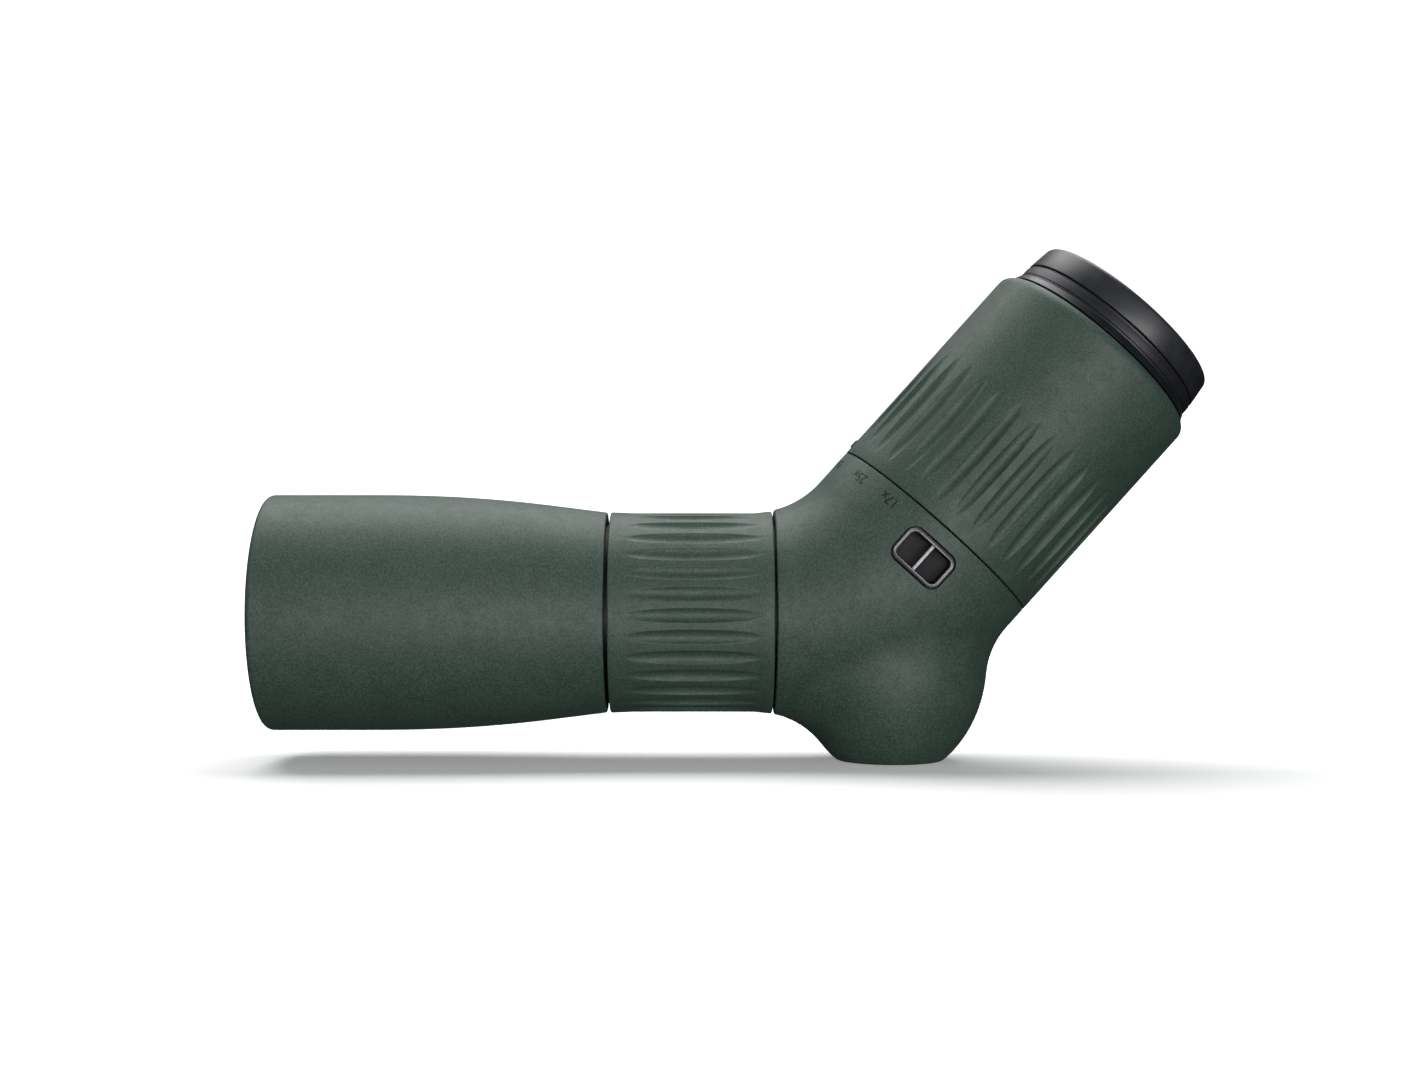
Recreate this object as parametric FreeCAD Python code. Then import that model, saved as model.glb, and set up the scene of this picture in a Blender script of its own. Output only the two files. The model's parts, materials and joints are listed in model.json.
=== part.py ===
import FreeCAD, Part
import math
import os

# Angled spotting scope, in millimetres. The origin is the centre of the foot's flat underside, at the
# mouth of the tripod thread. +Z is up and -X is towards the objective. The barrel's axis lies along X.
# The eyepiece's axis crosses it and rises in the XZ plane. An x is a place along X and a t is a place
# along the eyepiece's axis, counted from the crossing. Both kinds of turned part are made along +X.

V = FreeCAD.Vector

# overall sizes
barrel_z = 44.0  # the barrel's axis above the underside of the foot
elbow_x = -8.6  # where the two axes cross
tilt = 48.0  # rise of the eyepiece's axis, degrees
front_x = -184.65  # front rim of the barrel
hood_r = 35.0  # outside of the barrel's front
neck_r = 29.8  # outside of the barrel's neck and of the focus ring
eye_r = 35.0  # outside of the zoom ring
focus_front_x = -83.55  # middle of the gap in front of the focus ring
focus_rear_x = -34.9  # middle of the gap behind the focus ring
zoom_t = 32.55  # middle of the gap under the zoom ring
zoom_length = 71.05
cup_length = 7.8

# clearances and walls
run = 0.05  # radial, between turning or sliding parts that guide each other
slack = 0.4  # round a pin in a slot, and between parts that only pass each other
focus_front_gap = 1.1
focus_rear_gap = 0.7
zoom_gap = 0.5
end_gap = 0.35  # between a turning ring and the fixed ring at its end
armour = 2.0
casting = 2.5

# barrel
hood_length = 32.65  # straight part of the barrel, in front of the neck
neck_flare = 1.8  # how far the neck's curve still has to fall where it is steepest
neck_level = 0.5  # share of the neck that its curve stays level
neck_steep = 0.766  # share of the neck at which its curve is steepest
neck_wall = 2.6
rim_round = 1.8
tube_wall = 3.0
thread_relief = 1.0  # how far the filter thread stands outside the bore behind it
filter_thread_length = 7.0
cell_wall = 1.8
cell_depth = 11.65  # from the front rim to the lens cell
lens_lip = 0.9  # how far a ring or shoulder reaches over a lens
retainer_length = 3.5
crown_edge = 4.0
crown_bulge = 3.0
spacer_length = 1.0
flint_edge = 7.5
flint_hollow = 3.2
flint_bulge = 0.5
cell_shoulder = 2.5
baffle_high = 4.5
baffle_thick = 2.0
baffle_edge = 0.6

# focusing
grip_wall = 1.8
core_wall = 1.95
guide_wall = 2.0
guide_seat = 7.0  # length of guide tube held in the barrel
focus_x = -59.0  # middle of the carriage at rest
focus_turn = 150.0  # each way, degrees
focus_lead = 14.4  # carriage travel for a whole turn
focus_length = 14.0
carriage_wall = 4.0
focus_lens_edge = 4.0
focus_lens_hollow = 1.5
small_lip = 1.5  # how far a ring or shoulder reaches over an inner lens
pin_r = 1.2
pin_grip = 3.0  # length of pin held in its carrier
groove_depth = 1.3
pin_short = 0.2  # from a pin's tip to the bottom of its groove
scallops = 30
scallop_width = 4.2
scallop_length = 39.0
scallop_depth = 1.15
scallop_shift = 0.6  # the scallops' middle, behind the ring's
grip_edge = 0.5
grip_flare = 0.05  # the ring's front edge above the neck's radius
grip_waist = 0.2  # the ring's middle below it
grip_rear_flare = 0.3
front_slope = 7.6  # from an end of the ring to its waist
rear_slope = 5.7
seal_r = 0.55
seal_squeeze = 0.1  # how much deeper a seal's groove is than the seal
seal_side = 0.15  # room on each side of a seal in its groove
focus_seal_inset = 2.5  # from an end of the focus ring to the seal under it
zoom_seal_inset = 1.8

# elbow housing and foot
blend_r = 27.2  # hollow round at the top of the elbow
bulb_r = 28.8  # widest radius of the foot's swelling
bulb_z = 30.0
foot_r = 15.6
foot_blend = 24.0  # hollow round between the swelling and the bend
plate_r = 12.0
plate_thick = 3.0
boss_top = 14.0
bush_r = 5.0
bush_thread_r = 3.175  # 1/4-20 tripod thread
bush_length = 10.0
foot_screw_circle = 8.7
foot_screw_r = 1.0
foot_screw_length = 6.8
foot_screw_head = 1.2
foot_screw_slot = 0.5  # width and depth of the driver's slot
flange_x = 3.0  # thickness of the housing's front wall
flange_t = 3.1  # thickness of the wall that holds the eyepiece tube
prism_reach = 11.0  # from the crossing to the entry and exit faces
prism_height = 42.0  # from the sharp corner to the roof's ridge
prism_half = 13.0
prism_cut = 2.5  # the sharp corner is ground off this far below its apex
cage_wall = 3.0
cage_window_gap = 0.9  # from the prism's half width to the window in front of it
cage_flange_wall = 7.0
cage_flange_thick = 2.0
cage_depth = 24.0  # how far down the prism the cage's cheeks reach
cage_arm = 10.0  # half width of a cheek at its lower end
cage_top_half = 2.4
cage_front_rise = 4.0  # from the front of a cheek up to its top
cage_front_drop = 12.0  # from the barrel's axis down to the front of a cheek
clamp_width = 4.4
clamp_thick = 0.8
clamp_screw_r = 0.8
clamp_screw_length = 5.0
clamp_head_r = 1.5
clamp_head_high = 1.0
fill_screw_r = 2.0

# strap lugs
lug_t = 22.0
lug_long = 12.05  # along the eyepiece
lug_high = 17.65  # round it
lug_corner = 3.4
lug_border = 1.75
lug_proud = 0.3
lug_frame_depth = 2.5
lug_pocket_depth = 5.0
lug_floor = 1.2
lug_bar_width = 1.6
lug_bar_thick = 1.2
lug_bar_depth = 0.9  # from the housing's surface to the bar

# zoom eyepiece
zoom_low = -6.2  # turn to the highest power, degrees
zoom_high = 59.4  # turn to the lowest power
zoom_grip_wall = 3.0
cam_wall = 2.95
eye_tube_wall = 2.5
eye_flange_proud = 2.0  # how far the tube's foot flange stands outside the tube
eye_flange_bore = 2.0  # how far that flange reaches inside the tube
eye_flange_thick = 3.2
field_rise = 11.7  # from the housing's rim to the field group
field_per_rad = -4.0
variator_room = 12.0  # from the variator group to the field stop
variator_per_rad = 7.0
carrier_length = 8.0
carrier_floor = 2.0  # thickness of the ledge that its lens sits on
carrier_lens_edge = 5.0
field_bulge = 1.2
variator_bulge = -1.4
carrier_wall = 9.45
zoom_scallops = 33
zoom_scallop_depth = 1.35
zoom_scallop_length = 36.0
zoom_scallop_t = 54.8
zoom_round = 3.0
zoom_end_step = 2.6  # from the zoom ring's outside in to the flat of its upper end
nub_t = 36.0
nub_length = 2.8
nub_width = 1.8
nub_high = 0.45
nub_root = 1.55  # how deep the nub is set in the ring
nub_round = 0.4
stop_room = 4.0  # from the field stop to the eye lens cell
stop_r = 9.0
stop_thick = 1.6
stop_rim = 3.0
stop_edge = 0.5
cell_room = 2.55  # from the eye lens cell's flange to the key ring
cell_flange = 4.0
eye_cell_gap = 2.95  # round the eye lens cell, inside the sleeve
eye_cell_wall = 4.5
bezel_gap = 0.45
bezel_thick = 1.5
bezel_depth = 0.9  # from the bezel to the underside of the cup
inner_lens_rise = 12.0  # from the foot of the cell to its inner lens
inner_lens_edge = 3.0
outer_lens_edge = 6.5
inner_bulge = 1.5
outer_hollow = 1.1

# eyecup
collar_length = 2.1
collar_step = 2.6  # each of these steps is counted in from the zoom ring's outside
collar_round = 0.6
base_length = 3.3
base_step = 3.5
groove_length = 1.0
groove_step = 4.8
cup_step = 3.7
cup_taper = 0.7
cup_round = 1.8
cup_lip = 1.0  # rounding inside the rim
cup_foot = 0.6  # from the sleeve's bore out to the foot of the cup's inner slope
cup_wall = 2.2
cup_bond = 1.0  # ledge of the sleeve's flange under the cup
sleeve_flange = 1.4
sleeve_below = 12.0  # sleeve left in the tube when the cup is fully out
pin_below = 9.6  # from the cup's underside to the guide pin
pin_reach = 1.1  # how far the guide pin reaches into the sleeve's groove
groove_floor = 0.35  # from the guide pin's end to the bottom of that groove
sleeve_wall = 2.0
cup_turn = 270.0
cup_lift = 9.0
key_angle = 45.0
key_width = 3.0
key_high = 1.1
key_length = 2.7
key_play = 0.4
key_boss = 4.0  # how far the key ring reaches up inside the sleeve

# sizes that follow
neck_start_x = front_x + hood_length
filter_r = hood_r - armour - tube_wall + thread_relief
bore_r = filter_r - thread_relief
lens_r = bore_r - cell_wall
core_r = neck_r - grip_wall
guide_r = core_r - core_wall - run
guide_bore = guide_r - guide_wall
carriage_r = guide_bore - run
focus_lens_r = carriage_r - carriage_wall
ring_front_x = focus_front_x + focus_front_gap / 2
ring_rear_x = focus_rear_x - focus_rear_gap / 2
barrel_end_x = focus_front_x - focus_front_gap / 2
housing_x = focus_rear_x + focus_rear_gap / 2
housing_t = zoom_t - zoom_gap / 2
zoom_start_t = zoom_t + zoom_gap / 2
zoom_end_t = zoom_start_t + zoom_length
cam_r = eye_r - zoom_grip_wall
eye_tube_r = cam_r - cam_wall - run
eye_bore = eye_tube_r - eye_tube_wall
eye_flange_r = eye_tube_r + eye_flange_proud
collar_t = zoom_end_t + end_gap
base_t = collar_t + collar_length
cup_start_t = base_t + base_length + groove_length
sleeve_r = eye_bore - run
sleeve_bore = sleeve_r - sleeve_wall
eye_cell_r = sleeve_bore - eye_cell_gap
eye_lens_r = eye_cell_r - eye_cell_wall
bezel_r = sleeve_bore - bezel_gap
carrier_lens_r = sleeve_r - carrier_wall
collar_r = eye_r - collar_step
base_r = eye_r - base_step
groove_floor_r = eye_r - groove_step
cup_r = eye_r - cup_step
cup_rim_r = cup_r - cup_taper
cup_t = cup_start_t + cup_length
slot_width = 2 * (pin_r + slack)
cup_per_rad = cup_lift / math.radians(cup_turn)
sleeve_start_t = cup_start_t - cup_lift - sleeve_below
key_top_t = sleeve_start_t - end_gap
cell_t = key_top_t - key_length - cell_room - cell_flange
stop_t = cell_t - stop_room
variator_t = stop_t - variator_room
field_t = housing_t + field_rise
cup_pin_t = cup_start_t - pin_below
blend_z = barrel_z + neck_r + blend_r
rise = math.radians(tilt)
blend_x = elbow_x - (eye_r + blend_r - (blend_z - barrel_z) * math.cos(rise)) / math.sin(rise)


def in_barrel(shape):
    """Lifts a part made along +X to the barrel's axis."""
    shape.translate(V(0, 0, barrel_z))
    return shape


def in_eyepiece(shape):
    """Tilts a part made along +X to the eyepiece's axis."""
    shape.rotate(V(0, 0, 0), V(0, 1, 0), -tilt)
    shape.translate(V(elbow_x, 0, barrel_z))
    return shape


def turned(*steps):
    """Turns an outline of (x, radius) steps about X. A list of points is a curve's poles."""
    edges = []
    here = V(steps[0][0], steps[0][1], 0)
    for step in steps[1:] + (steps[0],):
        if isinstance(step, list):
            curve = Part.BezierCurve()
            curve.setPoles([here] + [V(x, r, 0) for x, r in step])
            edges.append(curve.toShape())
            here = V(step[-1][0], step[-1][1], 0)
            continue
        there = V(step[0], step[1], 0)
        if here.distanceToPoint(there) > 1e-7:
            edges.append(Part.makeLine(here, there))
        here = there
    return Part.Face(Part.Wire(edges)).revolve(V(0, 0, 0), V(1, 0, 0), 360)


def ring(x0, x1, outer, inner):
    return turned((x0, inner), (x0, outer), (x1, outer), (x1, inner))


def lens(x, edge, radius, lip, front, back):
    """A lens with a flat lip. Its faces bulge by front and back, or are hollow where those are negative."""
    clear = radius - lip

    def cap(x_edge, bulge):
        ball = (clear**2 + bulge**2) / (2 * bulge)
        half = math.sqrt(ball**2 - clear**2 / 4) * math.copysign(1, ball) - (ball - bulge)
        points = [V(x_edge + bulge, 0, 0), V(x_edge + half, clear / 2, 0), V(x_edge, clear, 0)]
        return Part.Arc(*points).toShape()

    back_x = x + edge
    rim = Part.makePolygon([V(x, clear, 0), V(x, radius, 0), V(back_x, radius, 0), V(back_x, clear, 0)])
    axis = Part.makeLine(V(x - front, 0, 0), V(back_x + back, 0, 0))
    sides = [cap(x, -front), cap(back_x, back), axis]
    wire = Part.Wire(Part.__sortEdges__(sides + rim.Edges))
    return Part.Face(wire).revolve(V(0, 0, 0), V(1, 0, 0), 360)


def o_ring(x, outer):
    return Part.makeTorus(outer - seal_r, seal_r, V(x, 0, 0), V(1, 0, 0))


def o_ring_groove(x, outer):
    half = seal_r + seal_side
    return ring(x - half, x + half, outer + 1, outer - 2 * seal_r - seal_squeeze)


def spoke(r0, r1, radius, x, angle):
    """A round pin along a radius, at an angle about X counted from +Y towards +Z."""
    direction = V(0, math.cos(math.radians(angle)), math.sin(math.radians(angle)))
    return Part.makeCylinder(radius, r1 - r0, V(x, 0, 0) + direction * r0, direction)


def straight_slot(r0, r1, x0, x1, width, angle):
    """A slot along X with round ends about x0 and x1, cut from radius r0 to r1."""
    bar = Part.makeBox(x1 - x0, r1 - r0, width, V(x0, r0, -width / 2))
    bar.rotate(V(0, 0, 0), V(1, 0, 0), angle)
    ends = [spoke(r0, r1, width / 2, x, angle) for x in (x0, x1)]
    return bar.fuse(ends)


def cam_groove(r0, r1, width, x, angle, low, high, per_rad):
    """A helical groove that moves a pin at x and angle by per_rad as its part turns from low to high."""
    turn = high - low
    climb = abs(per_rad) * math.radians(turn)
    lead = abs(per_rad) * 2 * math.pi
    helix = Part.makeHelix(lead, climb, (r0 + r1) / 2)
    corners = [V(r0, 0, -width / 2), V(r1, 0, -width / 2), V(r1, 0, width / 2), V(r0, 0, width / 2)]
    section = Part.makePolygon(corners + corners[:1])
    groove = Part.Wire(helix.Edges).makePipeShell([section], True, True)
    groove.rotate(V(0, 0, 0), V(0, 1, 0), 90)
    middle = angle - (low + high) / 2
    shift = 90 - turn / 2
    if per_rad > 0:
        groove = groove.mirror(V(0, 0, 0), V(0, 1, 0))
        shift = 90 + turn / 2
    groove.rotate(V(0, 0, 0), V(1, 0, 0), middle + shift)
    groove.translate(V(x + per_rad * math.radians(low + high) / 2 - climb / 2, 0, 0))
    relief = width / 2 + 0.2
    ends = [spoke(r0, r1, relief, x + per_rad * math.radians(a), angle - a) for a in (low, high)]
    return [groove] + ends


def cut_in_turn(shape, cutters):
    """Cuts with one tool at a time, for tools that lie over each other."""
    for cutter in cutters:
        shape = shape.cut(cutter)
    return shape


def scallop_cutters(count, outer, middle, length, depth, first):
    """Discs that each cut one long shallow hollow into a ring, all round it."""
    disc_r = (length**2 / 4 + depth**2) / (2 * depth)
    place = V(middle, outer - depth + disc_r, -scallop_width / 2)
    cutters = []
    for i in range(count):
        disc = Part.makeCylinder(disc_r, scallop_width, place)
        disc.rotate(V(0, 0, 0), V(1, 0, 0), first + i * 360 / count)
        cutters.append(disc)
    return cutters


def neck_poles(inset, end_x):
    """The barrel's narrowing neck as a curve's poles, inset below its outside."""
    length = barrel_end_x - neck_start_x
    start = (neck_start_x, hood_r - inset)
    level = (neck_start_x + neck_level * length, hood_r - inset)
    steep = (neck_start_x + neck_steep * length, neck_r + neck_flare - inset)
    return [start, level, steep, (end_x, neck_r + grip_flare - inset)]


def elbow_form(grow):
    """The housing's outer form, or a smaller one inside it: a bend that widens, and the foot's swelling."""
    steps = 8
    rings = []
    for i in range(steps + 1):
        share = i / steps
        radius = neck_r + (eye_r - neck_r) * share**2 * (3 - 2 * share)
        reach = blend_r + radius
        circle = Part.makeCircle(radius + grow, V(0, 0, 0), V(1, 0, 0))
        circle.rotate(V(0, 0, 0), V(0, 1, 0), -tilt * share)
        turn = rise * share
        circle.translate(V(blend_x + reach * math.sin(turn), 0, blend_z - reach * math.cos(turn)))
        rings.append(Part.Wire(circle))
    bend = Part.makeLoft(rings, True)
    blend_t = (blend_x - elbow_x) * math.cos(rise) + (blend_z - barrel_z) * math.sin(rise)
    stub = eye_cylinder(eye_r + grow, blend_t, zoom_t + 5)
    bulb_high = bulb_z / math.sqrt(1 - (foot_r / bulb_r) ** 2) + grow
    centre = V(0, 0, bulb_z)
    ellipse = Part.Ellipse(centre + V(0, 0, bulb_high), centre + V(bulb_r + grow, 0, 0), centre)
    half = Part.ArcOfEllipse(ellipse, 0, math.pi).toShape()
    axis = Part.makeLine(centre + V(0, 0, bulb_high), centre - V(0, 0, bulb_high))
    bulb = Part.Face(Part.Wire(Part.__sortEdges__([half, axis]))).revolve(V(0, 0, 0), V(0, 0, 1), 360)
    form = bend.fuse([stub, bulb]).removeSplitter()
    swelling = [f for f in form.Faces if f.Surface.TypeId == "Part::GeomSurfaceOfRevolution"][0]
    crease = max(swelling.Edges, key=lambda e: e.BoundBox.YLength)
    return form.makeFillet(foot_blend - grow, [crease])


def trimmed(shape, x_low, t_high, z_low):
    """Cuts a form off square in front of x_low, past t_high and below z_low."""
    far = 400
    front = Part.makeBox(far, 2 * far, 2 * far, V(x_low - far, -far, -far))
    back = in_eyepiece(Part.makeBox(far, 2 * far, 2 * far, V(t_high, -far, -far)))
    below = Part.makeBox(2 * far, 2 * far, far, V(-far, -far, z_low - far))
    return shape.cut([front, back, below])


def lug_block(inset, y0, y1, side):
    """The lug's rounded rectangle, from y0 out to y1 on one side, in the eyepiece's own directions."""
    long = lug_long - 2 * inset
    high = lug_high - 2 * inset
    block = Part.makeBox(long, y1 - y0, high, V(lug_t - long / 2, y0, -high / 2))
    uprights = [e for e in block.Edges if abs(e.tangentAt(0).y) > 0.9]
    block = block.makeFillet(lug_corner - inset, uprights)
    if side < 0:
        block = block.mirror(V(0, 0, 0), V(0, 1, 0))
    return block


lug_face = eye_r + lug_proud
lug_joint = eye_r - lug_frame_depth
lug_back = lug_joint - lug_pocket_depth


def strap_frame(side):
    block = lug_block(0, lug_joint, lug_face + 1, side).cut(lug_block(lug_border, 0, lug_face + 2, side))
    surface = Part.makeCylinder(lug_face, 4 * lug_long, V(lug_t - 2 * lug_long, 0, 0), V(1, 0, 0))
    return in_eyepiece(block.common(surface))


def strap_pocket(side):
    block = lug_block(0, lug_back, lug_joint, side)
    return in_eyepiece(block.cut(lug_block(lug_border, lug_back + lug_floor, lug_joint + 1, side)))


def strap_bar(side):
    long = lug_long - 2 * lug_border
    face = eye_r - lug_bar_depth
    low = V(lug_t - long / 2, face - lug_bar_thick, -lug_bar_width / 2)
    bar = Part.makeBox(long, lug_bar_thick, lug_bar_width, low)
    if side < 0:
        bar = bar.mirror(V(0, 0, 0), V(0, 1, 0))
    return in_eyepiece(bar)


def lug_holes():
    return [in_eyepiece(lug_block(0, lug_back, lug_face + 5, side)) for side in (-1, 1)]


def eye_cylinder(radius, t0, t1):
    return in_eyepiece(Part.makeCylinder(radius, t1 - t0, V(t0, 0, 0), V(1, 0, 0)))


def barrel_cylinder(radius, x0, x1):
    return in_barrel(Part.makeCylinder(radius, x1 - x0, V(x0, 0, 0), V(1, 0, 0)))


# objective

def objective_armour():
    neck = neck_poles(0, barrel_end_x)
    inside = neck_poles(armour, barrel_end_x)[::-1]
    return in_barrel(turned(
        (front_x, hood_r - armour), (front_x, hood_r - rim_round),
        [(front_x, hood_r), (front_x + rim_round, hood_r)], neck[0], neck[1:], inside[0], inside[1:]))


def objective_tube():
    outside = neck_poles(armour, barrel_end_x)
    inside = [(neck_start_x, bore_r), (outside[1][0], bore_r), (outside[2][0], outside[2][1] - neck_wall),
              (barrel_end_x, outside[3][1] - neck_wall)]
    inside.reverse()
    step_x = front_x + filter_thread_length
    tube = turned((front_x, filter_r), (front_x, hood_r - armour), outside[0], outside[1:],
                  inside[0], inside[1:], (step_x, bore_r), (step_x, filter_r))
    return in_barrel(tube).cut(barrel_cylinder(guide_r, barrel_end_x - guide_seat, barrel_end_x + 1))


cell_front_x = front_x + cell_depth
crown_x = cell_front_x + retainer_length
spacer_x = crown_x + crown_edge
flint_x = spacer_x + spacer_length
cell_shoulder_x = flint_x + flint_edge
cell_end_x = cell_shoulder_x + cell_shoulder
cell_seal_x = cell_shoulder_x + cell_shoulder / 2


def objective_cell():
    lip = lens_r - lens_lip
    cell = turned((cell_front_x, lens_r), (cell_front_x, bore_r), (cell_end_x, bore_r), (cell_end_x, lip),
                  (cell_shoulder_x, lip), (cell_shoulder_x, lens_r))
    return in_barrel(cell.cut(o_ring_groove(cell_seal_x, bore_r)))


def crown_lens():
    return in_barrel(lens(crown_x, crown_edge, lens_r, lens_lip, crown_bulge, crown_bulge))


def lens_spacer():
    return in_barrel(ring(spacer_x, flint_x, lens_r, lens_r - lens_lip))


def flint_lens():
    return in_barrel(lens(flint_x, flint_edge, lens_r, lens_lip, -flint_hollow, flint_bulge))


def objective_retainer():
    return in_barrel(ring(cell_front_x, crown_x, lens_r, lens_r - lens_lip))


def objective_seal():
    return in_barrel(o_ring(cell_seal_x, bore_r))


def light_baffle():
    """A thin ring with a sharp inner edge, seated behind the objective's cell."""
    back_x = cell_end_x + baffle_thick
    inner = bore_r - baffle_high
    return in_barrel(turned((cell_end_x, inner), (cell_end_x, bore_r), (back_x, bore_r), (back_x, bore_r - 1),
                            (cell_end_x + baffle_edge, inner)))


# focusing

focus_travel = focus_lead * focus_turn / 360
focus_per_rad = -focus_lead / (2 * math.pi)
pin_sides = (0, 180)
seal_places = (ring_front_x + focus_seal_inset, ring_rear_x - focus_seal_inset)


def guide_tube():
    tube = ring(barrel_end_x - guide_seat, housing_x + flange_x, guide_r, guide_bore)
    x0 = focus_x - focus_travel
    x1 = focus_x + focus_travel
    slots = [straight_slot(guide_bore - 2, guide_r + 2, x0, x1, slot_width, a) for a in pin_sides]
    return in_barrel(tube.cut(slots + [o_ring_groove(x, guide_r) for x in seal_places]))


def focus_seals():
    return in_barrel(Part.makeCompound([o_ring(x, guide_r) for x in seal_places]))


def focus_ring_core():
    core = ring(ring_front_x, ring_rear_x, core_r, guide_r + run)
    cuts = []
    for angle in pin_sides:
        cuts += cam_groove(guide_r - 1, guide_r + run + groove_depth, slot_width, focus_x, angle,
                           -focus_turn, focus_turn, focus_per_rad)
    return in_barrel(cut_in_turn(core, cuts))


def focus_ring_grip():
    front_r = neck_r + grip_flare
    waist_r = neck_r - grip_waist
    rear_r = neck_r + grip_rear_flare
    grip = turned(
        (ring_front_x, core_r), (ring_front_x, front_r - grip_edge),
        [(ring_front_x, front_r), (ring_front_x + grip_edge, front_r)],
        (ring_front_x + front_slope, waist_r), (ring_rear_x - rear_slope, waist_r),
        (ring_rear_x - grip_edge, rear_r), [(ring_rear_x, rear_r), (ring_rear_x, rear_r - grip_edge)],
        (ring_rear_x, core_r))
    middle = (ring_front_x + ring_rear_x) / 2 + scallop_shift
    cutters = scallop_cutters(scallops, waist_r, middle, scallop_length, scallop_depth, 180)
    return in_barrel(grip.cut(cutters))


def cross_pins(r0, r1, place, angles):
    return [spoke(r0, r1, pin_r, place, a) for a in angles]


def focus_carriage():
    x0 = focus_x - focus_length / 2
    x1 = focus_x + focus_length / 2
    lip = focus_lens_r - small_lip
    body = turned((x0, focus_lens_r), (x0, carriage_r), (x1, carriage_r), (x1, lip), (focus_x, lip),
                  (focus_x, focus_lens_r))
    return in_barrel(body.cut(cross_pins(guide_bore - pin_grip, guide_bore + 1, focus_x, pin_sides)))


def focusing_lens():
    hollow = -focus_lens_hollow
    x = focus_x - focus_lens_edge
    return in_barrel(lens(x, focus_lens_edge, focus_lens_r, small_lip, hollow, hollow))


def focus_lens_retainer():
    x0 = focus_x - focus_length / 2
    return in_barrel(ring(x0, focus_x - focus_lens_edge, focus_lens_r, focus_lens_r - small_lip))


def focus_pins():
    tip = guide_r + run + groove_depth - pin_short
    return in_barrel(Part.makeCompound(cross_pins(guide_bore - pin_grip, tip, focus_x, pin_sides)))


# elbow housing

def casting_solid():
    return trimmed(elbow_form(-armour), housing_x, housing_t, plate_thick)


def screw_places():
    angles = [math.radians(90 + 120 * i) for i in range(3)]
    return [V(foot_screw_circle * math.cos(a), foot_screw_circle * math.sin(a), 0) for a in angles]


fill_dip = math.radians(20)  # the purge screw points back and down by this much
fill_direction = V(math.cos(fill_dip), 0, -math.sin(fill_dip))
fill_place = V(0, 0, bulb_z)
fill_start = bulb_r - armour - casting - 1


def fill_hole(r, start, length):
    return Part.makeCylinder(r, length, fill_place + fill_direction * start, fill_direction)


def prism_housing():
    inner_form = elbow_form(-armour - casting)
    hollow = trimmed(inner_form, housing_x + flange_x, housing_t - flange_t, plate_thick + casting)
    shell = casting_solid().cut(hollow)
    boss = Part.makeCylinder(plate_r + 1, boss_top - plate_thick, V(0, 0, plate_thick))
    cuts = [barrel_cylinder(guide_r, housing_x - 1, housing_x + flange_x + 1)]
    cuts.append(eye_cylinder(eye_flange_r, housing_t - flange_t - 1, housing_t + 5))
    cuts.append(Part.makeCylinder(bush_r, bush_length, V(0, 0, 0)))
    cuts += [countersunk(p) for p in screw_places()]
    cuts.append(fill_hole(fill_screw_r, fill_start - 2, casting + 6))
    return shell.fuse(boss).cut(cuts + lug_holes())


def fill_screw():
    shape = fill_hole(fill_screw_r, fill_start, casting + 0.5)
    return shape.common(casting_solid())


def housing_armour():
    skin = trimmed(elbow_form(0), housing_x, housing_t, 0)
    plate = Part.makeCylinder(plate_r, plate_thick + 1)
    return skin.cut([casting_solid(), plate] + lug_holes())


def countersunk(place):
    head = Part.makeCone(2 * foot_screw_r, foot_screw_r, foot_screw_head, place)
    return head.fuse(Part.makeCylinder(foot_screw_r, foot_screw_length, place))


def foot_plate():
    plate = Part.makeCylinder(plate_r, plate_thick)
    return plate.cut([Part.makeCylinder(bush_r, plate_thick)] + [countersunk(p) for p in screw_places()])


def foot_screws():
    screws = []
    for place in screw_places():
        corner = place - V(2 * foot_screw_r, foot_screw_slot / 2, 0)
        slot = Part.makeBox(4 * foot_screw_r, foot_screw_slot, foot_screw_slot, corner)
        screws.append(countersunk(place).cut(slot))
    return Part.makeCompound(screws)


def tripod_bush():
    return Part.makeCylinder(bush_r, bush_length).cut(Part.makeCylinder(bush_thread_r, bush_length))


half_tilt = rise / 2
apex = V(elbow_x - prism_reach, 0, barrel_z + prism_reach / math.tan(half_tilt))
down = V(math.sin(half_tilt), 0, -math.cos(half_tilt))
along = V(math.cos(half_tilt), 0, math.sin(half_tilt))


def wedge(depth_top, depth_bottom, half_y):
    """The prism's triangle between two depths below its sharp corner."""
    def row(depth):
        side = depth * math.tan(half_tilt)
        return [apex + down * depth - along * side, apex + down * depth + along * side]

    a, b = row(depth_top)
    d, c = row(depth_bottom)
    face = Part.Face(Part.makePolygon([a, b, c, d, a]))
    face.translate(V(0, -half_y, 0))
    return face.extrude(V(0, 2 * half_y, 0))


def roof_prism():
    block = wedge(prism_cut, prism_height, prism_half)
    ridge = apex + down * prism_height
    bar = Part.makeBox(120, 60, 60, V(-60, 0, 0))
    bar.rotate(V(0, 0, 0), V(1, 0, 0), 45)
    bar.rotate(V(0, 0, 0), V(0, 1, 0), -tilt / 2)
    bar.translate(ridge)
    return block.common(bar)


def cage_top():
    return apex + down * prism_cut


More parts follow.
